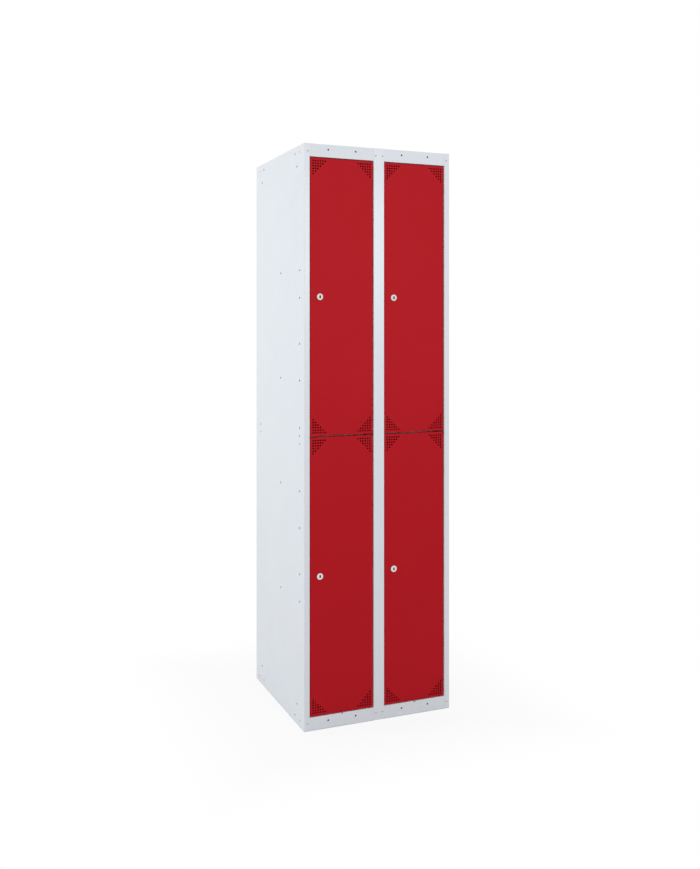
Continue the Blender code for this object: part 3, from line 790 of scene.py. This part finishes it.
def rivets():
    """Blind rivets that hold the trays, shelves and back to the uprights, set after the paint."""
    dome = domed_head(RIVET_RADIUS, RIVET_HEAD, 0)
    pit = SHEET / 4
    profile = [(0, pit), (RIVET_BORE, pit), (RIVET_BORE, RIVET_HEAD * RIVET_LIP)]
    profile += [(out, up) for out, up in dome if out > RIVET_CROWN * RIVET_BORE]
    profile += [(RIVET_RADIUS, -SHEET / 2), (0, -SHEET / 2)]
    mesh = turned(profile, RIVET_STEPS)

    for side, sign in SIDES.items():
        low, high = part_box(f"{side}_side_panel")
        face = low.x if sign < 0 else high.x
        outward = Matrix.Rotation(sign * math.pi / 2, 4, "Y")
        depths = (FRONT + RIVET_INSET, BACK - RIVET_INSET)
        spots = [(y, z) for y in depths for z in (RIVET_RISE, TOP - RIVET_RISE)]
        spots += [(y, MIDDLE - FIXING_STEP) for y in (FRONT + FIXING_FRONT, BACK - FIXING_REAR)]
        places = [Matrix.Translation((face, y, z)) @ outward for y, z in spots]
        piece(f"{side}_side_rivets", copies(mesh, places), ZINC, CARCASS)

    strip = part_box("centre_rear_strip")[1].x / 2
    seam = SIDE_HIGH.x - SIDE_LOW.x
    columns = [SIDE_LOW.x + BACK_FLANGE / 2, -strip, strip, -SIDE_LOW.x - BACK_FLANGE / 2]
    places = []
    for x in columns:
        for row in range(BACK_RIVETS):
            z = seam + row / (BACK_RIVETS - 1) * (TOP - 2 * seam)
            places.append(Matrix.Translation((x, BACK, z)) @ BACKWARD)
    piece("back_seam_rivets", copies(mesh, places), ZINC, CARCASS)

    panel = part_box("left_back_panel")[1].y
    places = []
    for side in SIDES:
        centre = opening_centre(side)
        for node in (f"{side}_roof_tray", f"{side}_middle_shelf", f"{side}_floor_tray"):
            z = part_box(node)[1].z - FLANGE / 2
            for x in (centre - TRAY_HOLE_SPACING, centre, centre + TRAY_HOLE_SPACING):
                places.append(Matrix.Translation((x, panel, z)) @ BACKWARD)
    piece("back_panel_rivets", copies(mesh, places), ZINC, CARCASS)


def door_vents(width, height):
    """The places of the holes at a door's corners, in rows that lose one hole each."""
    for row in range(VENT_ROWS):
        for column in range(VENT_ROWS - row):
            across = VENT_MARGIN + column * VENT_PITCH
            up = VENT_MARGIN + row * VENT_PITCH
            for x in (across, width - across):
                for z in (up, height - up):
                    yield x, z


def door_pan():
    """A pan with its edges folded back and in. Its place is given from its lower left front corner."""
    width, depth, height = DOOR_HIGH - DOOR_LOW
    bm = bmesh.new()
    add_box(bm, (0, 0, 0), (width, depth, height))
    rear = [face for face in bm.faces if face.normal.y > 0.5]
    bmesh.ops.inset_region(bm, faces=rear, thickness=DOOR_LIP, use_even_offset=True)
    bmesh.ops.delete(bm, geom=rear, context="FACES")
    folds = {"width": DOOR_BEND + DOOR_SHEET, "segments": FOLD_STEPS}
    mesh = modified(mesh_of(bm), ("BEVEL", folds), thicken(DOOR_SHEET))

    holes = bmesh.new()
    for x, z in door_vents(width, height):
        add_round(holes, (x, 0, z), VENT_RADIUS, 2 * DOOR_SHEET + CUT, "y")
    lock = HINGES["upper_left_lock"] - DOOR_LOW
    add_round(holes, (lock.x, 0, lock.z), BARREL_RADIUS, 2 * DOOR_SHEET + CUT, "y")
    pivot = HINGES["upper_left_door"] - DOOR_LOW
    for z in (0, height):
        add_round(holes, (pivot.x, pivot.y, z), PIN_RADIUS, 2 * DOOR_SHEET + CUT, "z")
    return carve(mesh, holes)


def lock_housing():
    """The rim on the door's face and the threaded barrel behind it. The thread is drawn as rings."""
    tail = PLAY - CAM_PLACE
    step = RIM_FACE - PLUG_HEAD - PLAY
    rim = rounded_line([(MOUTH_RADIUS, RIM_FACE), (RIM_RADIUS, RIM_FACE), (RIM_RADIUS, 0)], RIM_EASE)
    profile = [tuple(point) for point in rim] + [(BARREL_RADIUS, 0), (BARREL_RADIUS, -DOOR_SHEET)]
    turns = int((CAM_PLACE - DOOR_SHEET) / THREAD_PITCH)
    for turn in range(turns):
        crest = -DOOR_SHEET - turn * THREAD_PITCH
        profile.append((BARREL_RADIUS - THREAD_DEPTH, crest - THREAD_PITCH / 2))
        profile.append((BARREL_RADIUS, crest - THREAD_PITCH))
    profile += [(BARREL_RADIUS - THREAD_DEPTH, tail), (BORE_RADIUS, tail)]
    profile += [(BORE_RADIUS, step), (MOUTH_RADIUS, step)]
    return turned(profile, ring=True)


def lock_nut():
    """A hexagon nut behind the door, with its corners turned off at both faces."""
    turns = [step / LOCK_STEPS * 2 * math.pi for step in range(LOCK_STEPS)]
    corners = [NUT_FLATS / math.cos(turn % (math.pi / 3) - math.pi / 6) for turn in turns]
    flat = NUT_FLATS - NUT_CHAMFER
    slope = math.tan(math.pi / 6)
    front, rear = -DOOR_SHEET, -DOOR_SHEET - NUT_HEIGHT
    rings = [
        [(BARREL_RADIUS, front)] * LOCK_STEPS,
        [(flat, front)] * LOCK_STEPS,
        [(out, front - (out - flat) * slope) for out in corners],
        [(out, rear + (out - flat) * slope) for out in corners],
        [(flat, rear)] * LOCK_STEPS,
        [(BARREL_RADIUS, rear)] * LOCK_STEPS,
    ]
    bm = bmesh.new()
    loops = []
    for ring in rings:
        places = [(out * math.cos(turn), out * math.sin(turn), up) for turn, (out, up) in zip(turns, ring)]
        loops.append([bm.verts.new(place) for place in places])
    for first, second in zip(loops, loops[1:] + loops[:1]):
        for step in range(LOCK_STEPS):
            onward = (step + 1) % LOCK_STEPS
            bm.faces.new((first[step], first[onward], second[onward], second[step]))
    bmesh.ops.recalc_face_normals(bm, faces=bm.faces)
    return mesh_of(bm)


def lock_plug():
    """The turning core: a broached keyway in its head, and a square tail that drives the cam."""
    seat = RIM_FACE - PLUG_HEAD
    head = rounded_line([(0, RIM_FACE), (PLUG_HEAD_RADIUS, RIM_FACE), (PLUG_HEAD_RADIUS, seat)], PLUG_EASE)
    profile = [tuple(point) for point in head]
    profile += [(PLUG_RADIUS, seat), (PLUG_RADIUS, -CAM_PLACE), (0, -CAM_PLACE)]
    wide, tall = KEYWAY_WIDTH / 2, KEYWAY_HEIGHT / 2
    rib = KEYWAY_RIB - wide
    outline = [(-wide, -tall), (wide, -tall), (wide, tall), (-wide, tall)]
    outline += [(-wide, tall / 3), (rib, tall / 5), (rib, -tall / 5), (-wide, -tall / 3)]
    slot = bmesh.new()
    add_prism(slot, outline, RIM_FACE - KEYWAY_DEPTH, RIM_FACE + CUT)
    guide = bmesh.new()
    wide, tall = KEY_GUIDE_WIDTH / 2, KEY_GUIDE_HEIGHT / 2
    around = [(0, tall), (-wide, tall), (-wide, -tall), (wide, -tall), (wide, tall), (0, tall)]
    around = [tuple(point) for point in rounded_line(around, wide * KEY_GUIDE_ROUND)[1:]]
    add_prism(guide, around, RIM_FACE - KEY_GUIDE_DEPTH, RIM_FACE + CUT)
    bm = bmesh.new()
    bm.from_mesh(carve(turned(profile), slot, guide))
    # The keyway's walls and floor take a near-black as painted shade, and the plug's face is bare.
    deepest = RIM_FACE - KEYWAY_DEPTH * 1.01
    mouth = RIM_FACE - KEY_GUIDE_DEPTH / 9
    for face in bm.faces:
        inside = all(abs(vert.co.x) < wide * 1.01 and abs(vert.co.y) < tall * 1.01 for vert in face.verts)
        face.material_index = int(inside and deepest < face.calc_center_median().z < mouth)
    add_box(bm, (-TAIL / 2, -TAIL / 2, -CAM_PLACE - CAM_SHEET), (TAIL / 2, TAIL / 2, -CAM_PLACE))
    mesh = mesh_of(bm)
    mesh.materials.append(NICKEL)
    mesh.materials.append(KEYWAY_SHADE)
    return mesh


def lock_cam():
    """The cam hangs down when unlocked, and a quarter turn puts its end behind the stile."""
    half = CAM_WIDTH / 2
    outline = []
    for step in range(CAM_STEPS + 1):
        turn = math.pi * step / CAM_STEPS
        outline.append((half * math.cos(turn), half * math.sin(turn)))
    foot = rounded_line([(-half, 0), (-half, -CAM_LENGTH), (half, -CAM_LENGTH), (half, 0)], CAM_CORNER)
    outline += [tuple(point) for point in foot[1:-1]]
    square = TAIL / 2 + CAM_EASE
    hole = [(square, square), (-square, square), (-square, -square), (square, -square)]
    mesh = flat_plate([outline, hole], CAM_SHEET, CAM_EASE)
    mesh.transform(Matrix.Translation((0, 0, -CAM_PLACE - CAM_SHEET / 2)))
    return mesh


def cam_screw():
    """A pan-head screw that holds the cam on the plug's tail, seen from inside the door."""
    mesh = screw(CAM_HEAD_RADIUS, CAM_HEAD, CAM_SCREW_RADIUS, CAM_SCREW_LENGTH, CAM_SCREW_SLOT)
    flip = Matrix.Rotation(math.pi, 4, "X")
    mesh.transform(Matrix.Translation((0, 0, -CAM_PLACE - CAM_SHEET)) @ flip)
    return mesh


def doors():
    pan = door_pan()
    fittings = {
        "lock_housing": ("casting", lock_housing(), NICKEL, "door"),
        "lock_nut": ("hexagon", lock_nut(), ZINC, "door"),
        "lock_plug": ("core", lock_plug(), NICKEL, "lock"),
        "lock_cam": ("plate", lock_cam(), ZINC, "lock"),
        "cam_screw": ("pan_head", cam_screw(), ZINC, "lock"),
    }
    for side in SIDES:
        for tier in TIERS:
            name = f"{tier}_{side}"
            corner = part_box(f"{name}_door")[0]
            piece(f"{name}_door_pan", pan, RED, f"{name}_door", [f"{name}_door"], Matrix.Translation(corner))
            at = Matrix.Translation(HINGES[f"{name}_lock"]) @ FORWARD
            for node, (form, mesh, material, body) in fittings.items():
                piece(f"{name}_{node}_{form}", mesh, material, f"{name}_{body}", [f"{name}_{node}"], at)


def plain_sheets():
    """The flat sheets of the back keep their solids and take the carcass's finish."""
    for name in ("left_back_panel", "right_back_panel", "centre_rear_strip"):
        thing = frame["nodes"][name]
        thing.data.materials.clear()
        thing.data.materials.append(GREY)


def seen_rays(tree):
    """1 for rays that see the white studio as it is: the camera's, and those off gloss and through glass."""
    path = add_node(tree, "ShaderNodeLightPath")
    seen = path.outputs["Is Camera Ray"]
    for kind in ("Is Glossy Ray", "Is Transmission Ray"):
        either = add_node(tree, "ShaderNodeMath", {0: seen, 1: path.outputs[kind]}, operation="MAXIMUM")
        seen = either.outputs["Value"]
    return seen


def floor():
    """A white studio floor, seen as plain white but for the locker's shadow close by."""
    material, tree, output = new_material("white_studio_floor")
    place = add_node(tree, "ShaderNodeTexCoord").outputs["Object"]
    aside = add_node(tree, "ShaderNodeVectorMath", {0: place}, operation="ABSOLUTE").outputs["Vector"]
    apart = add_node(tree, "ShaderNodeSeparateXYZ", {"Vector": aside}).outputs
    away = add_node(tree, "ShaderNodeMath", {0: apart["X"], 1: apart["Y"]}, operation="MAXIMUM")
    away = away.outputs["Value"]
    fade = add_node(
        tree, "ShaderNodeMapRange",
        {
            "Value": away,
            "From Min": BACK,
            "From Max": BACK + SHADOW_REACH,
            "To Min": NEAR_WHITE,
            "To Max": 1.0,
        },
        interpolation_type="SMOOTHSTEP",
    )
    outside = add_node(tree, "ShaderNodeMath", {0: away, 1: BACK}, operation="GREATER_THAN")
    share = add_node(
        tree, "ShaderNodeMath", {0: seen_rays(tree), 1: fade.outputs["Result"]}, operation="MULTIPLY"
    )
    share = add_node(
        tree, "ShaderNodeMath", {0: share.outputs["Value"], 1: outside.outputs["Value"]}, operation="MULTIPLY"
    )
    lit = add_node(tree, "ShaderNodeBsdfDiffuse", {"Color": linear("#DADADA")})
    white = add_node(tree, "ShaderNodeEmission", {"Color": (1, 1, 1, 1), "Strength": 1.0})
    mix = add_node(
        tree, "ShaderNodeMixShader",
        {0: share.outputs["Value"], 1: lit.outputs["BSDF"], 2: white.outputs["Emission"]},
    )
    tree.links.new(mix.outputs["Shader"], output.inputs["Surface"])
    bm = bmesh.new()
    bmesh.ops.create_grid(bm, x_segments=1, y_segments=1, size=FLOOR_REACH)
    mesh = mesh_of(bm)
    mesh.materials.append(material)
    thing = bpy.data.objects.new("studio_floor", mesh)
    bpy.context.scene.collection.objects.link(thing)


def studio_light():
    """A white surround, which is plain white where it is seen, and soft boxes for the front and the side."""
    world = bpy.data.worlds.new("white_surround")
    bpy.context.scene.world = world
    world.use_nodes = True
    tree = world.node_tree
    tree.nodes.clear()
    output = add_node(tree, "ShaderNodeOutputWorld")
    ambient = add_node(tree, "ShaderNodeBackground", {"Color": (1, 1, 1, 1), "Strength": AMBIENT})
    white = add_node(tree, "ShaderNodeBackground", {"Color": (1, 1, 1, 1), "Strength": 1.0})
    mix = add_node(
        tree, "ShaderNodeMixShader",
        {0: seen_rays(tree), 1: ambient.outputs["Background"], 2: white.outputs["Background"]},
    )
    tree.links.new(mix.outputs["Shader"], output.inputs["Surface"])

    # Each lamp has its place and target, its size in metres, its spread in degrees and its power in watts.
    boxes = {
        "front_softbox": ((0, -3.04, 1.72), (0, FRONT, 1.5), 0.6, 90, 4.7),
        "sheen_softbox": ((0.95, -3.04, 1.72), (-0.15, FRONT, 1.5), 0.35, 90, 5.4),
        "side_softbox": ((-3.4, 0.6, 2.0), (-0.25, 0, 1.3), 1.5, 80, 8.6),
    }
    for name, (at, target, size, spread, power) in boxes.items():
        lamp = bpy.data.lights.new(name, "AREA")
        lamp.shape = "SQUARE"
        lamp.size = size
        lamp.spread = math.radians(spread)
        lamp.energy = power
        thing = bpy.data.objects.new(name, lamp)
        bpy.context.scene.collection.objects.link(thing)
        thing.location = at
        thing.rotation_euler = (Vector(target) - Vector(at)).to_track_quat("-Z", "Y").to_euler()

    # The locks would mirror the front lamp and burn out, so it gives no gloss. The sheen lamp gives gloss
    # alone, and draws the soft highlight down the left stile and the post and over the doors.
    bpy.data.objects["front_softbox"].visible_glossy = False
    sheen = bpy.data.objects["sheen_softbox"]
    sheen.visible_diffuse = False
    faces = ["left_side_panel_pressing", "centre_post_pressing"]
    faces += [f"{tier}_{side}_door_pan" for side in SIDES for tier in TIERS]
    lit = bpy.data.collections.new("lit_by_sheen_softbox")
    for name in faces:
        lit.objects.link(bpy.data.objects[name])
    sheen.light_linking.receiver_collection = lit


def camera():
    data = bpy.data.cameras.new("camera")
    data.sensor_width = SENSOR
    data.lens = FOCAL_PIXELS * SENSOR / PICTURE_HEIGHT
    data.shift_y = (HORIZON_PIXEL - PICTURE_HEIGHT / 2) / PICTURE_HEIGHT
    thing = bpy.data.objects.new("camera", data)
    bpy.context.scene.collection.objects.link(thing)
    thing.location = CAMERA_PLACE
    thing.rotation_euler = (math.pi / 2, 0, -CAMERA_TURN)
    bpy.context.scene.camera = thing


centre_uprights()
for side, sign in SIDES.items():
    side_panel(side, sign)
    for level in ("roof", "floor"):
        tray(side, level)
    middle_shelf(side)
    hinge_bracket(side)
    for place in ("top", "middle", "bottom"):
        hinge_pin(side, place)
stile_screws()
rivets()
doors()
plain_sheets()
floor()
studio_light()
camera()
bpy.context.scene.view_settings.view_transform = "Standard"
